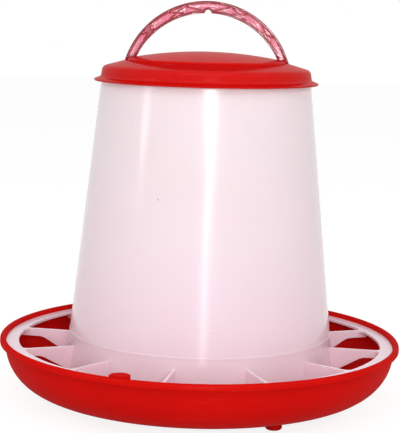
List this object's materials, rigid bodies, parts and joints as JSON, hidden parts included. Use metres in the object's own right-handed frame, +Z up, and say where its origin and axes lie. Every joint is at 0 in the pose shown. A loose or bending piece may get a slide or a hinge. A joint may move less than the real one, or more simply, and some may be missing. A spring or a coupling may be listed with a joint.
{
  "type": "poultry feeder",
  "caption": "Hopper feeder for poultry: round tray with feeding grille, tapered see-through hopper, domed lid and arched carrying handle.",
  "frame": {"origin": "on the floor under the centre of the tray, level with the undersides of its three feet", "axes": "+Z up; the handle's arch spans X; the front seen in the picture is towards -Y"},
  "size_m": [0.36, 0.36, 0.355],
  "materials": {
    "tray_red": "satin moulded plastic",
    "hopper_white": "translucent natural plastic",
    "lid_red": "glossy moulded plastic",
    "handle_red": "see-through crimson plastic"
  },
  "bodies": {
    "root": {"tray": "tray_red", "hopper": "hopper_white", "lid": "lid_red", "handle": "handle_red"}
  },
  "joints": []
}
